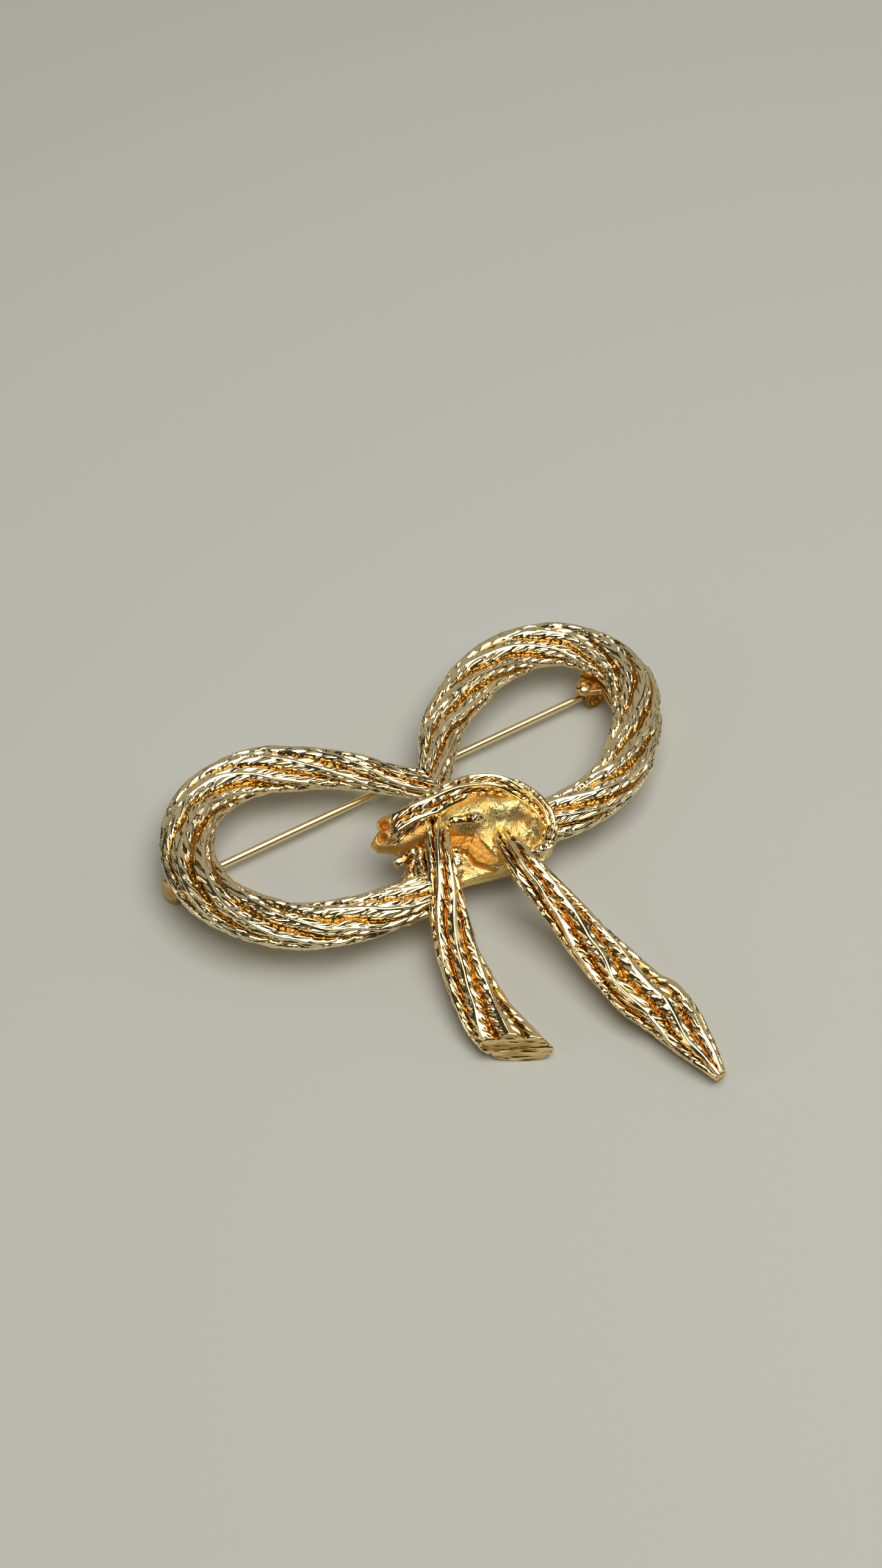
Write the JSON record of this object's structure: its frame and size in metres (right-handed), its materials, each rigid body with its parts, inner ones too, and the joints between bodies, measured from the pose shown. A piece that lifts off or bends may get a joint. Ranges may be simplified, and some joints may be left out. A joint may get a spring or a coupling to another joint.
{
  "type": "bow brooch",
  "caption": "Gold-tone cast bow brooch of twisted rope with two open loops, a wrapped knot, two tails and a hinged pin stem behind.",
  "frame": {"origin": "middle of the brooch's box, on the surface it lies on", "axes": "+X along the pin towards its hinge, +Y away from the tails, +Z out of the brooch's front"},
  "size_m": [0.0636, 0.0628, 0.0104],
  "materials": {
    "cast_gold": "bright gold-tone plating over a cast rope relief, warm in the recesses",
    "findings_gold": "bright gold-tone plating on small formed findings",
    "pin_gold": "smooth polished gold-tone wire"
  },
  "bodies": {
    "brooch": {"bow": "cast_gold", "hinge_rivet": "findings_gold"},
    "pin": {"pin_stem": "pin_gold"}
  },
  "joints": [
    {"name": "pin_hinge", "type": "hinge", "parent": "brooch", "child": "pin", "pos_m": [0.02565, 0.02033, 0.0015], "axis": [0, -1, 0], "range_deg": [0, 75]}
  ]
}
